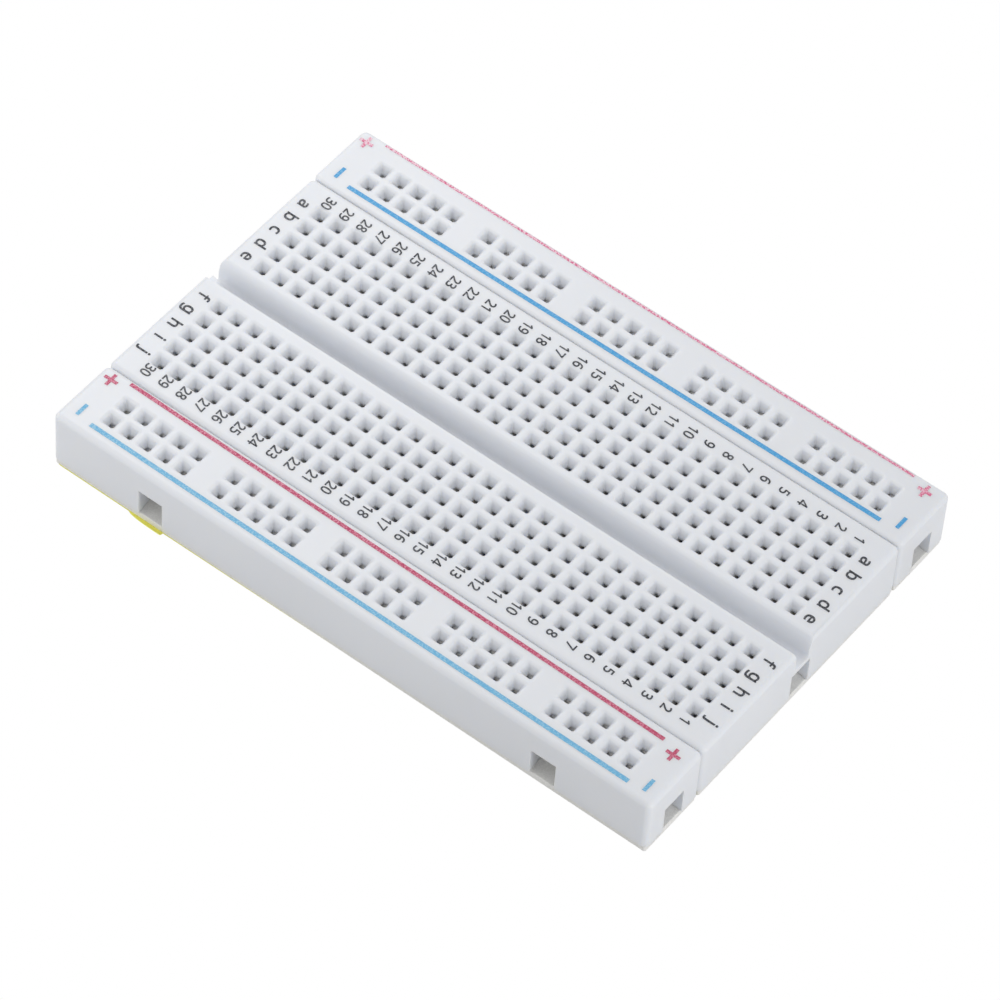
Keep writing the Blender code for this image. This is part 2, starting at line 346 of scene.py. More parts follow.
# %% White ABS
def make_abs():
    """The plastic of the three mouldings."""
    material, tree, shader = start_material("white ABS", {
        "Subsurface Weight": 0.55,
        "Subsurface Radius": (1.0, 1.10, 1.25),
        "Subsurface Scale": 0.70 * MM,
        "IOR": 1.53,
        "Specular IOR Level": 0.45,
    })
    grain = place_group(tree, grain_group, object_coordinates(tree),
                        Cloud_Scale=70.0, Grain_Scale=3200.0)
    vary_colour(tree, shader, grain.outputs["Clouds"],
                (0.755, 0.772, 0.806), (0.800, 0.818, 0.853))
    vary_roughness(tree, shader, grain.outputs["Clouds"], 0.34, 0.48)
    add_bump(tree, shader, grain.outputs["Grain"], 0.006 * MM, 0.5)
    return material


abs_white = make_abs()

# %% [markdown]
# ### Contact metal
# The springs are phosphor bronze strip with a thin nickel plate. Rolling leaves fine lines
# along the strip, so the grain is stretched one way, and the plate is a little uneven.

# %% Nickel-plated bronze
def make_contact_metal():
    """The metal of the clips and the rail strips."""
    material, tree, shader = start_material("nickel-plated bronze", {"Metallic": 1.0})
    grain = place_group(tree, grain_group, object_coordinates(tree, (1.0, 0.12, 1.0)),
                        Cloud_Scale=420.0, Grain_Scale=6000.0)
    vary_colour(tree, shader, grain.outputs["Clouds"], (0.76, 0.74, 0.71), (0.88, 0.87, 0.85))
    vary_roughness(tree, shader, grain.outputs["Grain"], 0.50, 0.68)
    add_bump(tree, shader, grain.outputs["Grain"], 0.004 * MM, 0.6)
    return material


contact_metal = make_contact_metal()

# %% [markdown]
# ### Foam
# Foam is a mass of tiny bubbles, so a cell pattern gives it its relief, and the same pattern
# paints shade into the colour of each pit. It is off-white, and light soaks into it a little, as it
# does into the plastic.

# %% Adhesive foam
def make_foam_finish():
    """The sticky foam under the mouldings."""
    material, tree, shader = start_material("adhesive foam", {
        "Subsurface Weight": 0.3,
        "Subsurface Radius": (1.0, 1.0, 0.9),
        "Subsurface Scale": 0.5 * MM,
        "Specular IOR Level": 0.25,
    })
    vector = object_coordinates(tree)
    cells = tree.nodes.new("ShaderNodeTexVoronoi")
    cells.inputs["Scale"].default_value = 5200.0
    tree.links.new(vector, cells.inputs["Vector"])
    grain = place_group(tree, grain_group, vector, Cloud_Scale=300.0, Grain_Scale=4000.0)
    # The base colour is darker at each cell's middle, where the bump sinks: painted shade in the pits.
    vary_colour(tree, shader, cells.outputs["Distance"], (0.75, 0.745, 0.72), (0.86, 0.855, 0.83))
    vary_roughness(tree, shader, grain.outputs["Clouds"], 0.82, 0.96)
    add_bump(tree, shader, cells.outputs["Distance"], 0.03 * MM, 0.7)
    return material


foam_finish = make_foam_finish()

# %% [markdown]
# ### Liner paper
# The liner is waxed paper: yellow, slightly glossy and full of faint fibres. The wax is a thin
# coat over the paper, and the fibres are the same grain as above, stretched along the board.

# %% Waxed yellow paper
def make_liner_finish():
    """The paper that keeps the foam from sticking."""
    material, tree, shader = start_material("waxed yellow paper", {
        "Coat Weight": 0.25,
        "Coat Roughness": 0.3,
    })
    fibres = place_group(tree, grain_group, object_coordinates(tree, (0.2, 1.0, 1.0)),
                         Cloud_Scale=500.0, Grain_Scale=5000.0)
    vary_colour(tree, shader, fibres.outputs["Clouds"], (0.93, 0.88, 0.10), (0.97, 0.94, 0.20))
    vary_roughness(tree, shader, fibres.outputs["Grain"], 0.42, 0.60)
    add_bump(tree, shader, fibres.outputs["Grain"], 0.008 * MM, 0.5)
    return material


liner_finish = make_liner_finish()

# %% [markdown]
# ### Printing inks
# The lines and letters are screen or pad printed. Ink that missed a speck shows the white
# plastic under it, so the ink's colour is mixed with the plastic's through the patchy mask.
# The pad pressed harder at the right end, so more ink is missing towards the left.

# %% Printing inks
PRESSURE_LOSS = 0.05


def make_ink(name, colour, missing, thin):
    """An ink; missing moves the mask, and thin is the colour where the ink barely took."""
    material, tree, shader = start_material(name, {"Roughness": 0.5, "Specular IOR Level": 0.3})
    vector = object_coordinates(tree)
    mask = place_group(tree, ink_group, vector)
    place = tree.nodes.new("ShaderNodeSeparateXYZ")
    tree.links.new(vector, place.inputs["Vector"])
    pressure = map_in(tree, place.outputs["X"], -board_end, board_end,
                      missing + PRESSURE_LOSS, missing - PRESSURE_LOSS)
    tree.links.new(pressure, mask.inputs["Missing"])
    vary_colour(tree, shader, mask.outputs["Coverage"], thin, colour)
    add_bump(tree, shader, mask.outputs["Relief"], 0.004 * MM, 0.4)
    return material


black_ink = make_ink("black ink", (0.030, 0.032, 0.040), 0.30, (0.20, 0.21, 0.23))
red_ink = make_ink("red ink", (0.50, 0.060, 0.140), 0.38, (0.70, 0.28, 0.37))
faded_red_ink = make_ink("faded red ink", (0.70, 0.150, 0.280), 0.43, (0.85, 0.60, 0.69))
blue_ink = make_ink("blue ink", (0.065, 0.345, 0.680), 0.30, (0.20, 0.48, 0.75))
faded_blue_ink = make_ink("faded blue ink", (0.150, 0.450, 0.710), 0.34, (0.34, 0.60, 0.78))
print("finishes:", [material.name for material in bpy.data.materials])

# %% [markdown]
# ## The white mouldings
# A real moulding comes out of a steel tool whose pins leave the holes. The same thinking
# works here: start from a rounded blank, add the tabs, then take away the notches, the slots
# for the springs, the trough and one pin shape for each tie point.
#
# The blank is a cube with its upright edges bevelled, and then its top rim, so that two
# mouldings meet in a shallow groove. The walls on a seam stand a hair further out than in the
# solid model, which closes the gap to the line that the eye sees. The far rail has a tighter
# rim, because its red line is printed close to the edge.

# %% The blank of a moulding
CORNER_RADIUS = 0.75 * MM
RIM_RADIUS = 0.68 * MM
FAR_RIM_RADIUS = 0.50 * MM
SEAM_SHARE = 0.047 * MM
NEARLY = 0.01 * MM


def add_block(shape, low, high):
    """Adds a cube stretched between two corners and returns its vertices."""
    made = bmesh.ops.create_cube(shape, size=1.0)
    low, high = Vector(low), Vector(high)
    bmesh.ops.scale(shape, vec=high - low, verts=made["verts"])
    bmesh.ops.translate(shape, vec=(low + high) / 2, verts=made["verts"])
    return made["verts"]


def round_off(shape, geometry, radius, segments, affect="EDGES"):
    """Rounds edges, or with "VERTICES" the corners of a flat face; returns the new geometry."""
    return bmesh.ops.bevel(shape, geom=geometry, offset=radius, offset_type="OFFSET",
                           segments=segments, profile=0.5, affect=affect, clamp_overlap=True,
                           material=-1)


def only(kind, geometry):
    """The items of one kind in a mixed list of vertices, edges and faces."""
    return [item for item in geometry if isinstance(item, kind)]


def upright_edges(shape):
    """The edges that stand at a block's corners."""
    return [edge for edge in shape.edges
            if abs(edge.verts[0].co.z - edge.verts[1].co.z) > 10 * NEARLY
            and abs(edge.verts[0].co.x - edge.verts[1].co.x) < NEARLY]


def edges_at_height(shape, height):
    """The edges that lie level at one height."""
    return [edge for edge in shape.edges
            if all(abs(vert.co.z - height) < NEARLY for vert in edge.verts)]


def moulding_blank(near_y, far_y, rim_radius=RIM_RADIUS):
    """A moulding before anything is cut out of it."""
    shape = bmesh.new()
    if near_y > NEARLY - rail_outer:
        near_y -= SEAM_SHARE
    if far_y < rail_outer - NEARLY:
        far_y += SEAM_SHARE
    add_block(shape, (-board_end, near_y, shell_bottom), (board_end, far_y, shell_top))
    round_off(shape, upright_edges(shape), CORNER_RADIUS, 6)
    round_off(shape, edges_at_height(shape, shell_top), rim_radius, 5)
    return shape


# %% [markdown]
# ### Dovetails
# A tab is wider at its tip than at its root, so a board that is clipped on can only be lifted
# off. One function makes a block and flares it into a dovetail. The tab is drawn smaller than
# the notch, which leaves the clearance. A rail's notch is deep enough to open into the slot
# behind it, where the spring strip shows.

# %% Tabs and notches
NOTCH_X = 27.1 * MM
NOTCH_MOUTH, NOTCH_BACK, NOTCH_DEPTH, NOTCH_TOP = 3.3 * MM, 3.9 * MM, 2.2 * MM, 4.9 * MM
RAIL_NOTCH_DEPTH = 2.7 * MM
TAB_NECK, TAB_TIP, TAB_TOP = 3.0 * MM, 3.6 * MM, 4.75 * MM
TAB_ROUNDING = 0.12 * MM
TAB_REACH = -board_end - block_low.x
OVERLAP = 0.4 * MM
RAIL_MIDDLE = (rail_inner + rail_outer) / 2


def add_dovetail(shape, root, outward, widths, reach, heights, rounding=0.0):
    """Adds a dovetail: widths at its root and tip, and heights of its bottom and top."""
    flare = (widths[1] - widths[0]) / reach * OVERLAP
    verts = add_block(shape, (-OVERLAP, -0.5, heights[0]), (abs(reach), 0.5, heights[1]))
    for vert in verts:
        width = widths[1] if vert.co.x > 0 else widths[0] - flare
        vert.co.y *= width
    if rounding:
        edges = [edge for edge in shape.edges
                 if all(vert in verts and vert.co.x > 0 for vert in edge.verts)]
        made = round_off(shape, edges, rounding, 2)
        verts = list({vert for vert in verts if vert.is_valid} | set(made["verts"]))
    angle = math.atan2(outward[1], outward[0])
    turn = Matrix.Translation((root[0], root[1], 0.0)) @ Matrix.Rotation(angle, 4, "Z")
    bmesh.ops.transform(shape, matrix=turn, verts=verts)


def tab_shapes(far_y, end_y):
    """Two tabs on the far side and one on the left end."""
    shape = bmesh.new()
    for x in (-NOTCH_X, NOTCH_X):
        add_dovetail(shape, (x, far_y), (0, 1), (TAB_NECK, TAB_TIP), TAB_REACH,
                     (shell_bottom, TAB_TOP), TAB_ROUNDING)
    add_dovetail(shape, (-board_end, end_y), (-1, 0), (TAB_NECK, TAB_TIP), TAB_REACH,
                 (shell_bottom, TAB_TOP), TAB_ROUNDING)
    return shape


def notch_shapes(near_y, end_y, depth=NOTCH_DEPTH):
    """Two notches in the near side and one in the right end, open below."""
    shape = bmesh.new()
    heights = (shell_bottom - OVERLAP, NOTCH_TOP)
    for x in (-NOTCH_X, NOTCH_X):
        add_dovetail(shape, (x, near_y), (0, 1), (NOTCH_MOUTH, NOTCH_BACK), depth, heights)
    if end_y is not None:
        add_dovetail(shape, (board_end, end_y), (-1, 0), (NOTCH_MOUTH, NOTCH_BACK), depth, heights)
    return shape


# %% [markdown]
# ### The pin that leaves a tie point
# The pin is a small square with its corners cut, pulled upwards in steps: straight through
# the hole, out along the funnel, and then round a soft lip until it is level with the top.
# The lips of neighbouring funnels almost meet, which leaves a soft ridge between them. One
# pin is made once and stamped at every tie point.

# %% One tie-point pin
FUNNEL_WIDTH = 1.85 * MM
FUNNEL_DEPTH = 1.05 * MM
LIP_RADIUS = 0.55 * MM
LIP_STEPS = 4
TIE_HOLE = 0.76 * MM
HOLE_CHAMFER = 0.10 * MM
SLOT_CEILING = 7.0 * MM


def pin_profile():
    """(height, width) of the pin's sections from bottom to top."""
    level = shell_top + NEARLY / 2
    turn = math.atan2(FUNNEL_DEPTH, (FUNNEL_WIDTH - TIE_HOLE) / 2)
    outer = FUNNEL_WIDTH + 2 * LIP_RADIUS * math.tan(turn / 2)
    sections = [(SLOT_CEILING - OVERLAP, TIE_HOLE), (level - FUNNEL_DEPTH, TIE_HOLE)]
    for step in range(LIP_STEPS + 1):
        angle = turn * (1 - step / LIP_STEPS)
        sections.append((level - LIP_RADIUS * (1 - math.cos(angle)),
                         outer - 2 * LIP_RADIUS * math.sin(angle)))
    sections.append((shell_top + OVERLAP / 2, outer))
    return sections


def make_pin():
    """The pin as a mesh, centred on the origin."""
    shape = bmesh.new()
    sections = pin_profile()
    made = bmesh.ops.create_grid(shape, x_segments=1, y_segments=1, size=sections[0][1] / 2)
    bmesh.ops.translate(shape, vec=(0, 0, sections[0][0]), verts=made["verts"])
    round_off(shape, list(shape.verts), HOLE_CHAMFER, 1, "VERTICES")
    top, start = list(shape.faces), list(shape.faces)
    for (low_height, low_width), (height, width) in zip(sections, sections[1:]):
        grown = bmesh.ops.extrude_face_region(shape, geom=top)["geom"]
        if top != start:
            bmesh.ops.delete(shape, geom=top, context="FACES_ONLY")
        top, verts = only(BMFace, grown), only(BMVert, grown)
        bmesh.ops.translate(shape, vec=(0, 0, height - low_height), verts=verts)
        bmesh.ops.scale(shape, vec=(width / low_width, width / low_width, 1.0), verts=verts)
    return to_mesh("pin", shape)


pin = make_pin()
print("a tie-point pin has", len(pin.polygons), "faces")


def stamp(stencil, places):
    """A bmesh that holds one copy of a mesh at each place."""
    shape = bmesh.new()
    for x, y in places:
        before = len(shape.verts)
        shape.from_mesh(stencil)
        shape.verts.ensure_lookup_table()
        bmesh.ops.translate(shape, vec=(x, y, 0), verts=shape.verts[before:])
    return shape


# %% [markdown]
# ### Cutting
# A Boolean modifier does the adding and cutting. The shapes are all closed, so Blender's
# Manifold solver can do it in a moment. The result is copied to a plain mesh, and the helper
# objects are removed.

# %% Cut a blank
def carve(name, blank, added, cutters):
    """Joins the added shape to a blank, takes the cutters away and returns the mesh."""
    body = add_object(name + " blank", to_mesh(name + " blank", blank))
    helpers = [body]
    steps = [("UNION", added)] + [("DIFFERENCE", cutter) for cutter in cutters]
    for operation, shape in steps:
        if shape is None:
            continue
        tool = add_object(name + " tool", to_mesh(name + " tool", shape))
        helpers.append(tool)
        boolean = body.modifiers.new("cut", "BOOLEAN")
        boolean.operation = operation
        boolean.solver = "MANIFOLD"
        boolean.object = tool
    bpy.context.view_layer.update()
    carved = body.evaluated_get(bpy.context.evaluated_depsgraph_get())
    mesh = bpy.data.meshes.new_from_object(carved)
    mesh.name = name
    for helper in helpers:
        bpy.data.objects.remove(helper)
    print(name, "has", len(mesh.polygons), "faces")
    return mesh


def slot_shapes(slots):
    """Boxes that leave room for the springs, open at the underside."""
    shape = bmesh.new()
    for low_x, low_y, high_x, high_y in slots:
        add_block(shape, (low_x, low_y, shell_bottom - OVERLAP), (high_x, high_y, SLOT_CEILING))
    return shape


# %% [markdown]
# ### The trough
# The trough parts the two banks and leaves a chip's belly somewhere to go. Its far wall rolls
# over into the top in one long, soft shoulder, which is a quarter of an ellipse, while the near
# lip stays crisp. The outline is one face, and vertex bevels round the corners of its floor and
# its near lip. Extruding that face gives the cutter.

# %% Trough cutter
TROUGH_WIDTH = 2.6 * MM
TROUGH_FLOOR = 2.4 * MM
TROUGH_DEPTH = 3.0 * MM
TROUGH_FILLET = 0.5 * MM
SHOULDER_OUT, SHOULDER_DOWN = 1.15 * MM, 2.3 * MM
SHOULDER_STEPS = 10
NEAR_LIP = 0.12 * MM


def trough_shape():
    """A long bar with the trough's section."""
    shape = bmesh.new()
    start = -board_end - OVERLAP
    floor_z, level = shell_top - TROUGH_DEPTH, shell_top + NEARLY / 2
    half, floor_half = TROUGH_WIDTH / 2, TROUGH_FLOOR / 2
    section = [(-floor_half, floor_z), (floor_half, floor_z)]
    for step in range(SHOULDER_STEPS + 1):
        angle = math.pi / 2 * step / SHOULDER_STEPS
        section.append((floor_half + SHOULDER_OUT * (1 - math.cos(angle)),
                        level - SHOULDER_DOWN * (1 - math.sin(angle))))
    section += [(2 * half, level + OVERLAP), (-2 * half, level + OVERLAP),
                (-2 * half, level), (-half, level)]
    verts = [shape.verts.new((start, y, z)) for y, z in section]
    shape.faces.new(verts)
    for corners, radius in ((verts[:2], TROUGH_FILLET), (verts[-1:], NEAR_LIP)):
        round_off(shape, corners, radius, 5, "VERTICES")
    grown = bmesh.ops.extrude_face_region(shape, geom=list(shape.faces))["geom"]
    bmesh.ops.translate(shape, vec=(2 * (board_end + OVERLAP), 0, 0), verts=only(BMVert, grown))
    return shape


# %% [markdown]
# ### The terminal block
# The middle moulding holds every row's clips, so it takes one slot for each, and the trough
# runs its whole length. Tabs go on first, because a cut must also trim what was added.

# %% Terminal block
SLOT_WIDTH = 1.9 * MM
SLOT_END = 1.17 * MM


def make_block():
    """The middle moulding."""
    half_slot = 2 * PITCH + SLOT_END
    slots = [(row_x(row) - SLOT_WIDTH / 2, side * BANK_CENTRE - half_slot,
              row_x(row) + SLOT_WIDTH / 2, side * BANK_CENTRE + half_slot)
             for row in range(1, ROWS + 1) for _, side in BANKS]
    mesh = carve("terminal_block_shell", moulding_blank(-block_edge, block_edge),
                 tab_shapes(block_edge, 0.0),
                 [notch_shapes(-block_edge, 0.0), slot_shapes(slots), trough_shape(),
                  stamp(pin, block_points)])
    return finish_piece("terminal_block_shell", mesh, "terminal_block", abs_white,
                        ["terminal_block"])


block_shell = make_block()

# %% [markdown]
# ### The power rails
# Both rails come from the same tool, so one function makes them. A rail takes two long slots,
# because each of its rows is a single strip from end to end.

# %% Power rails
def make_rail(name, side):
    """One of the two narrow mouldings."""
    near_y, far_y = sorted((side * rail_inner, side * rail_outer))
    slots = [(rail_columns[0] - SLOT_END, y - SLOT_WIDTH / 2,
              rail_columns[-1] + SLOT_END, y + SLOT_WIDTH / 2) for y in rail_rows[name]]
    rim_radius = RIM_RADIUS if side < 0 else FAR_RIM_RADIUS
    mesh = carve(f"{name}_rail_shell", moulding_blank(near_y, far_y, rim_radius),
                 tab_shapes(far_y, side * RAIL_MIDDLE),
                 [notch_shapes(near_y, side * RAIL_MIDDLE, RAIL_NOTCH_DEPTH), slot_shapes(slots),
                  stamp(pin, rail_points[name])])
    return finish_piece(f"{name}_rail_shell", mesh, f"{name}_rail", abs_white,
                        [f"{name}_power_rail"])


rail_shells = [make_rail(name, side) for name, side in RAILS]

# %% [markdown]
# ## Spring contacts
# A clip is one strip of bronze, slit into five pairs of fingers and folded into a channel.
# The same steps work on a mesh: a folded line is extruded along the strip, one finger or one
# slit at a time, the faces over each slit are deleted, and `solidify` gives the sheet its
# thickness. A rail's strip is the same thing with twenty-five pairs.

# %% Folded strips with fingers
STRIP_GAUGE = 0.18 * MM
FINGER_WIDTH = 2.0 * MM
FOLD_LINE = [(0.52, 6.86), (0.34, 6.78), (0.18, 6.55), (0.13, 6.10),
             (0.60, 4.2), (0.69, 2.4), (0.69, 1.30), (0.55, 1.14)]
SLIT_BOTTOM = 2.2 * MM


def folded_strip(name, stops):
    """A sprung strip along Y; stops are the (start, end) of each finger."""
    right = [(x * MM, z * MM) for x, z in FOLD_LINE]
    line = right + [(-x, z) for x, z in reversed(right)]
    edge_stops = [place for finger in stops for place in finger]
    shape = bmesh.new()
    verts = [shape.verts.new((x, edge_stops[0], z)) for x, z in line]
    edges = [shape.edges.new(pair) for pair in zip(verts, verts[1:])]
    for here, there in zip(edge_stops, edge_stops[1:]):
        grown = bmesh.ops.extrude_edge_only(shape, edges=edges)["geom"]
        edges = only(BMEdge, grown)
        bmesh.ops.translate(shape, vec=(0, there - here, 0), verts=only(BMVert, grown))
    in_slit = []
    for face in shape.faces:
        middle = face.calc_center_median()
        finger = any(start < middle.y < end for start, end in stops)
        if not finger and middle.z > SLIT_BOTTOM:
            in_slit.append(face)
    bmesh.ops.delete(shape, geom=in_slit, context="FACES")
    bmesh.ops.recalc_face_normals(shape, faces=shape.faces)
    bmesh.ops.solidify(shape, geom=list(shape.faces), thickness=STRIP_GAUGE)
    return to_mesh(name, shape)


def fingers_at(places):
    """Where each finger starts and ends, for fingers centred on places."""
    return [(place - FINGER_WIDTH / 2, place + FINGER_WIDTH / 2) for place in places]


clip_mesh = folded_strip("spring_clip", fingers_at(spread(HOLES_PER_CLIP)))
strip_mesh = folded_strip("rail_strip", fingers_at(rail_columns))
strip_mesh.transform(Matrix.Rotation(math.radians(90), 4, "Z"))
print("a clip has", len(clip_mesh.polygons), "faces and a rail strip", len(strip_mesh.polygons))

# %% [markdown]
# ### Put a spring in every slot
# Each spring is its own piece, with its place in its mesh. Most of them take over from a
# plain channel in the solid model. The last rows have no solid of their own, because a part
# has a limit on how many it may hold, and they ride on the block like the rest.

# %% Place the springs
def place_spring(name, stencil, x, y, body, stands_for):
    """Copies a folded strip into place and makes it a piece."""
    mesh = stencil.copy()
    mesh.transform(Matrix.Translation((x, y, 0.0)))
    return finish_piece(name, mesh, body, contact_metal, stands_for)


for row in range(1, ROWS + 1):
    for bank, side in BANKS:
        node = f"clip_row_{row:02d}_{bank}"
        stands_for = [node] if node in frame["nodes"] else []
        place_spring(f"spring_{node}", clip_mesh, row_x(row), side * BANK_CENTRE,
                     "terminal_block", stands_for)

for name, side in RAILS:
    for sign, y in zip(("minus", "plus"), rail_rows[name]):
        place_spring(f"{name}_{sign}_contact", strip_mesh, 0.0, y, f"{name}_rail",
                     [f"{name}_rail_{sign}_strip"])

# %% [markdown]
# ## Foam and liner
# The foam under each moulding is cut a little short of it. Where a neighbour's tabs rise
# through, the foam is relieved. The cut edges are softened, because foam springs back.

# %% Adhesive foam pads
FOAM_SOFTNESS = 0.10 * MM
FOAM_CORNER = 0.25 * MM


def make_foam(name, node, relief_edge):
    """One pad; relief_edge is the near wall of a moulding whose notches must stay open."""
    low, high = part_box(node)
    shape = bmesh.new()
    add_block(shape, low, high)
    round_off(shape, upright_edges(shape), FOAM_CORNER, 4)
    round_off(shape, edges_at_height(shape, high.z), FOAM_SOFTNESS, 2)
    cutters = []
    if relief_edge is not None:
        relief = notch_shapes(relief_edge, None)
        bmesh.ops.translate(relief, vec=(0, 0, -shell_bottom), verts=relief.verts)
        cutters.append(relief)
    mesh = carve(name, shape, None, cutters)
    pad = finish_piece(name, mesh, frame["nodes"][node]["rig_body"], foam_finish,
                       [node])
    return pad


make_foam("near_foam_pad", "near_rail_foam", None)
make_foam("block_foam_pad", "terminal_block_foam", -block_edge)
make_foam("far_foam_pad", "far_rail_foam", rail_inner)

# %% [markdown]
# The liner is one thin sheet, cut by hand, so it stops a little short at the right end and its
# near edge runs slightly askew. Its lip has been picked at and curls up in front of the near
# rail: the edge there is extruded outwards in three steps, each a little higher and shorter.

# %% Release liner
LINER_GAUGE = 0.1 * MM
LINER_TRIM = 0.06 * MM
LINER_SHORT = 0.40 * MM
LINER_SKEW = 0.30 * MM
LIP_FROM, LIP_TO = -30.3 * MM, -25.4 * MM
LIP_CURL = ((0.22, 0.03, 0.5), (0.20, 0.10, 1.0), (0.18, 0.18, 1.5))


def make_liner():
    """The yellow sheet under the foam."""
    low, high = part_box("release_liner")
    end_x, far_y = high.x - LINER_TRIM, high.y - LINER_TRIM
    short_x = end_x - LINER_SHORT
    outline = [(LIP_FROM, -far_y), (LIP_TO, -far_y), (short_x, LINER_SKEW - far_y),
               (short_x, far_y), (-end_x, far_y), (-end_x, -far_y)]
    shape = bmesh.new()
    verts = [shape.verts.new((x, y, 0.0)) for x, y in outline]
    shape.faces.new(verts)
    round_off(shape, verts[2:], CORNER_RADIUS, 4, "VERTICES")
    shape.edges.ensure_lookup_table()
    edge = next(e for e in shape.edges
                if {round(v.co.x / MM, 1) for v in e.verts} == {LIP_FROM / MM, LIP_TO / MM})
    for reach, rise, taper in LIP_CURL:
        grown = bmesh.ops.extrude_edge_only(shape, edges=[edge])["geom"]
        edge = only(BMEdge, grown)[0]
        moved = only(BMVert, grown)
        bmesh.ops.translate(shape, vec=(0, -reach * MM, rise * MM), verts=moved)
        left = min(moved, key=lambda vert: vert.co.x)
        left.co.x += taper * MM
    bmesh.ops.recalc_face_normals(shape, faces=shape.faces)
    if sum(face.normal.z * face.calc_area() for face in shape.faces) < 0:
        bmesh.ops.reverse_faces(shape, faces=shape.faces)
    bmesh.ops.solidify(shape, geom=list(shape.faces), thickness=-LINER_GAUGE)
    lowest = min(vert.co.z for vert in shape.verts)
    bmesh.ops.translate(shape, vec=(0, 0, -lowest), verts=shape.verts)
    mesh = to_mesh("yellow_liner", shape)
    return finish_piece("yellow_liner", mesh, "liner", liner_finish,
                        ["release_liner"])


liner = make_liner()
print("the liner's lip rises to", round(max(v.co.z for v in liner.data.vertices) / MM, 2), "mm")

# %% [markdown]
# ## Printing
# Ink is a film that stands about a hundredth of a millimetre proud. Lines and signs are thin
# blocks. The lines weren't printed quite square to the board, so each has its own two ends.

# %% Printed lines and signs
INK = 0.012 * MM
SIGN_LENGTH = 1.8 * MM
PLUS_STROKE = 0.42 * MM
MINUS_STROKE = 0.46 * MM
LINES = {
    "near": {"plus": ((-37.2, -18.58), (36.75, -19.25), 0.50),
             "minus": ((-36.9, -25.75), (37.1, -26.0), 0.58)},
    "far": {"plus": ((-37.55, 26.83), (36.45, 26.75), 0.32),
            "minus": ((-37.0, 19.25), (37.1, 19.42), 0.56)},
}
SIGNS = {
    "near": {"plus": ((-39.25, -19.5), (38.67, -20.25)), "minus": ((-38.96, -24.75), (39.08, -25.04))},
    "far": {"plus": ((-39.57, 25.8), (38.5, 25.8)), "minus": ((-39.0, 20.29), (39.12, 20.58))},
}


def bar(shape, start, end, width):
    """A thin bar of ink on the top face, from one point to another."""
    start, end = Vector(start), Vector(end)
    along = end - start
    verts = add_block(shape, (0, -width / 2, 0), (along.length, width / 2, INK))
    place = Matrix.Translation((start.x, start.y, shell_top))
    turn = Matrix.Rotation(math.atan2(along.y, along.x), 4, "Z")
    bmesh.ops.transform(shape, matrix=place @ turn, verts=verts)


def add_sign(shape, centre, is_plus):
    """A minus sign across the board, or a plus sign."""
    x, y = centre
    half, gap = SIGN_LENGTH / 2, PLUS_STROKE / 2
    bar(shape, (x, y - half), (x, y + half), PLUS_STROKE if is_plus else MINUS_STROKE)
    if is_plus:
        bar(shape, (x - half, y), (x - gap, y), PLUS_STROKE)
        bar(shape, (x + gap, y), (x + half, y), PLUS_STROKE)


def make_rail_print(name, sign, ink):
    """A line and the two signs that belong to it."""
    start, end, width = LINES[name][sign]
    shape = bmesh.new()
    bar(shape, Vector(start) * MM, Vector(end) * MM, width * MM)
    for centre in SIGNS[name][sign]:
        add_sign(shape, Vector(centre) * MM, sign == "plus")
    return finish_piece(f"{name}_{sign}_print", to_mesh(f"{name}_{sign}_print", shape),
                        f"{name}_rail", ink)


make_rail_print("near", "plus", red_ink)
make_rail_print("near", "minus", faded_blue_ink)
make_rail_print("far", "plus", faded_red_ink)
make_rail_print("far", "minus", blue_ink)

# %% [markdown]
# ### Figures and letters
# Each word is made once as a text curve in a plain sans serif that comes with Blender. The
# file is the family's Hebrew one, which holds the Latin letters too, and its four is closed,
# as the printed one is. A word is measured and scaled to the height that the print has. Its
# thickness comes from the curve's own extrusion. Wet ink creeps a little past its stencil, so
# the walls of every letter are pushed outwards by the same small amount. Words read across the
# board, with their tops towards the right end.

# %% Figures and letters
FIGURE_HEIGHT = 1.30 * MM
X_HEIGHT = 1.20 * MM
NUMBER_Y = 15.83 * MM
NUMBER_STRETCH = 1.005
FIGURE_NARROW = 0.88
LETTER_BASE_X = (-39.80 * MM, 38.60 * MM)
LETTER_DRIFT = (0.08 * MM, -0.22 * MM)
INK_SPREAD = 0.018
FONT_FILE = bpy.utils.resource_path("LOCAL") + "/datafiles/fonts/NotoSansHebrew-Regular.woff2"
plain_font = bpy.data.fonts.load(FONT_FILE)


def spread_ink(mesh):
    """Welds a word and pushes its upright walls outwards."""
    shape = bmesh.new()
    shape.from_mesh(mesh)
    bmesh.ops.remove_doubles(shape, verts=shape.verts, dist=0.0005)
    bmesh.ops.recalc_face_normals(shape, faces=shape.faces)
    moves = {}
    for vert in shape.verts:
        walls = [face.normal for face in vert.link_faces if abs(face.normal.z) < 0.5]
        moves[vert] = sum(walls, Vector()).normalized() * INK_SPREAD
    for vert, move in moves.items():
        vert.co += move
    shape.to_mesh(mesh)
    shape.free()
    return mesh


def text_mesh(words):
    """A word as a mesh one unit of letter height tall, standing on its baseline."""
    curve = bpy.data.curves.new("word", "FONT")
    curve.body = words
    curve.font = plain_font
    curve.align_x = "CENTER"
    curve.size = 1.0
    curve.resolution_u = 3
    curve.extrude = 0.5
    word = add_object("word", curve)
    bpy.context.view_layer.update()
    mesh = bpy.data.meshes.new_from_object(
        word.evaluated_get(bpy.context.evaluated_depsgraph_get()))
    bpy.data.objects.remove(word)
    bpy.data.curves.remove(curve)
    return spread_ink(mesh)


def height_of(mesh):
    """How tall a word is, from its lowest to its highest point."""
    heights = [vert.co.y for vert in mesh.vertices]
    return max(heights) - min(heights)


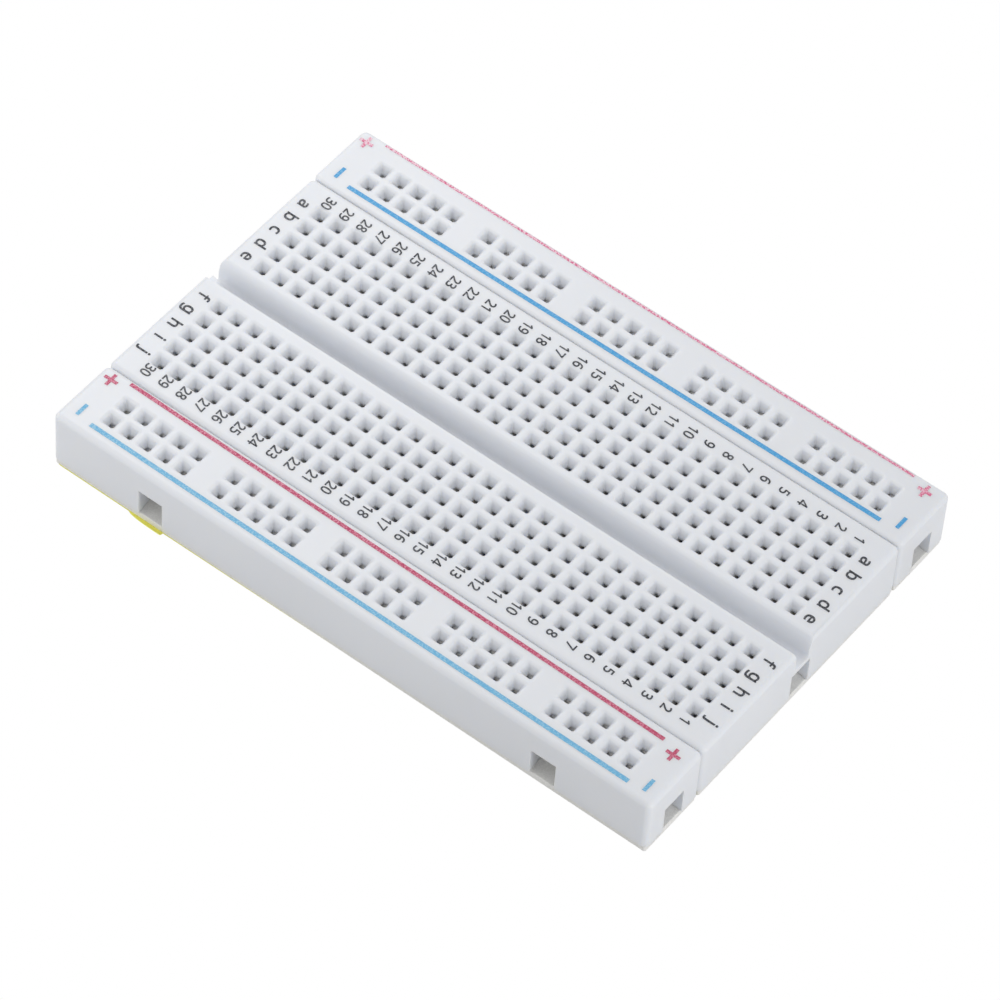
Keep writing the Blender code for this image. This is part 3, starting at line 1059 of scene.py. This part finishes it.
def lay_word(shape, mesh, scale, x, y, narrow=1.0):
    """Adds a word with its baseline at x, centred on y, reading towards -Y."""
    before = len(shape.verts)
    shape.from_mesh(mesh)
    shape.verts.ensure_lookup_table()
    sideways = [vert.co.x for vert in mesh.vertices]
    centre = (min(sideways) + max(sideways)) / 2
    move = (Matrix.Translation((x, y, shell_top + INK / 2))
            @ Matrix.Rotation(math.radians(-90), 4, "Z")
            @ Matrix.Diagonal((scale * narrow, scale, INK, 1.0))
            @ Matrix.Translation((-centre, 0.0, 0.0)))
    bmesh.ops.transform(shape, matrix=move, verts=shape.verts[before:])


def make_legend():
    """Row numbers beside both banks and column letters at both ends."""
    shape = bmesh.new()
    figure_scale = FIGURE_HEIGHT / height_of(text_mesh("1"))
    letter_scale = X_HEIGHT / height_of(text_mesh("x"))
    for row in range(1, ROWS + 1):
        mesh = text_mesh(str(row))
        for side in (-1, 1):
            lay_word(shape, mesh, figure_scale,
                     row_x(row) * NUMBER_STRETCH - FIGURE_HEIGHT / 2, side * NUMBER_Y,
                     FIGURE_NARROW)
    letters = "abcdefghij"
    columns = [side * BANK_CENTRE - y for _, side in BANKS for y in spread(HOLES_PER_CLIP)]
    for letter, y in zip(letters, columns):
        mesh = text_mesh(letter)
        for base_x, drift in zip(LETTER_BASE_X, LETTER_DRIFT):
            lay_word(shape, mesh, letter_scale, base_x, y + drift)
    bmesh.ops.remove_doubles(shape, verts=shape.verts, dist=0.0005 * MM)
    mesh = to_mesh("block_legend", shape)
    return finish_piece("block_legend", mesh, "terminal_block", black_ink)


legend = make_legend()
print("the legend has", len(legend.data.polygons), "faces")

# %% [markdown]
# ## Floor
# The board lies on a plain white sweep that is lit until it is paper white, so the camera
# sees it glow, while the board only gets the light that a pale table would send back.

# %% Floor
def make_floor():
    """A plain pale floor that the camera sees as paper white."""
    shape = bmesh.new()
    bmesh.ops.create_grid(shape, x_segments=1, y_segments=1, size=3.0)
    bmesh.ops.translate(shape, vec=(0, 0, -NEARLY), verts=shape.verts)
    mesh = to_mesh("floor", shape, recalculate=False)
    material, tree, shader = start_material("white table", {
        "Base Color": (0.70, 0.70, 0.70, 1.0), "Roughness": 0.9, "Specular IOR Level": 0.1})
    glow = tree.nodes.new("ShaderNodeEmission")
    path = tree.nodes.new("ShaderNodeLightPath")
    mix = tree.nodes.new("ShaderNodeMixShader")
    tree.links.new(path.outputs["Is Camera Ray"], mix.inputs["Fac"])
    # The mix node's second and third inputs share the name Shader.
    tree.links.new(shader.outputs["BSDF"], mix.inputs[1])
    tree.links.new(glow.outputs["Emission"], mix.inputs[2])
    tree.links.new(mix.outputs["Shader"], tree.nodes["Material Output"].inputs["Surface"])
    mesh.materials.append(material)
    floor = add_object("floor", mesh)
    return floor


floor = make_floor()

# %% [markdown]
# ## Light
# A softbox hangs over the far left, so the board is lightest there. A second faces the right
# end, and a weak one fills the left end of the near side. Most of the light comes from all
# round, as it does in a white tent.

# %% Lights
TENT_STRENGTH = 0.67


def add_softbox(name, place, size, power):
    """A square area light that faces the board."""
    data = bpy.data.lights.new(name, "AREA")
    data.shape = "SQUARE"
    data.size = size
    data.energy = power
    light = bpy.data.objects.new(name, data)
    bpy.context.scene.collection.objects.link(light)
    place = Vector(place)
    light.matrix_world = Matrix.Translation(place) @ place.to_track_quat("Z", "Y").to_matrix().to_4x4()
    return light


add_softbox("key softbox", (-0.12, 0.10, 0.18), 0.12, 0.135)
add_softbox("left fill softbox", (-0.12, -0.12, 0.06), 0.10, 0.045)
add_softbox("end softbox", (0.70, -0.06, 0.16), 0.3, 1.5)

world = bpy.data.worlds.new("studio")
bpy.context.scene.world = world
world.use_nodes = True
tent = world.node_tree.nodes["Background"]
tent.inputs["Color"].default_value = (1.0, 1.0, 1.0, 1.0)
tent.inputs["Strength"].default_value = TENT_STRENGTH
bpy.context.scene.view_settings.view_transform = "Standard"
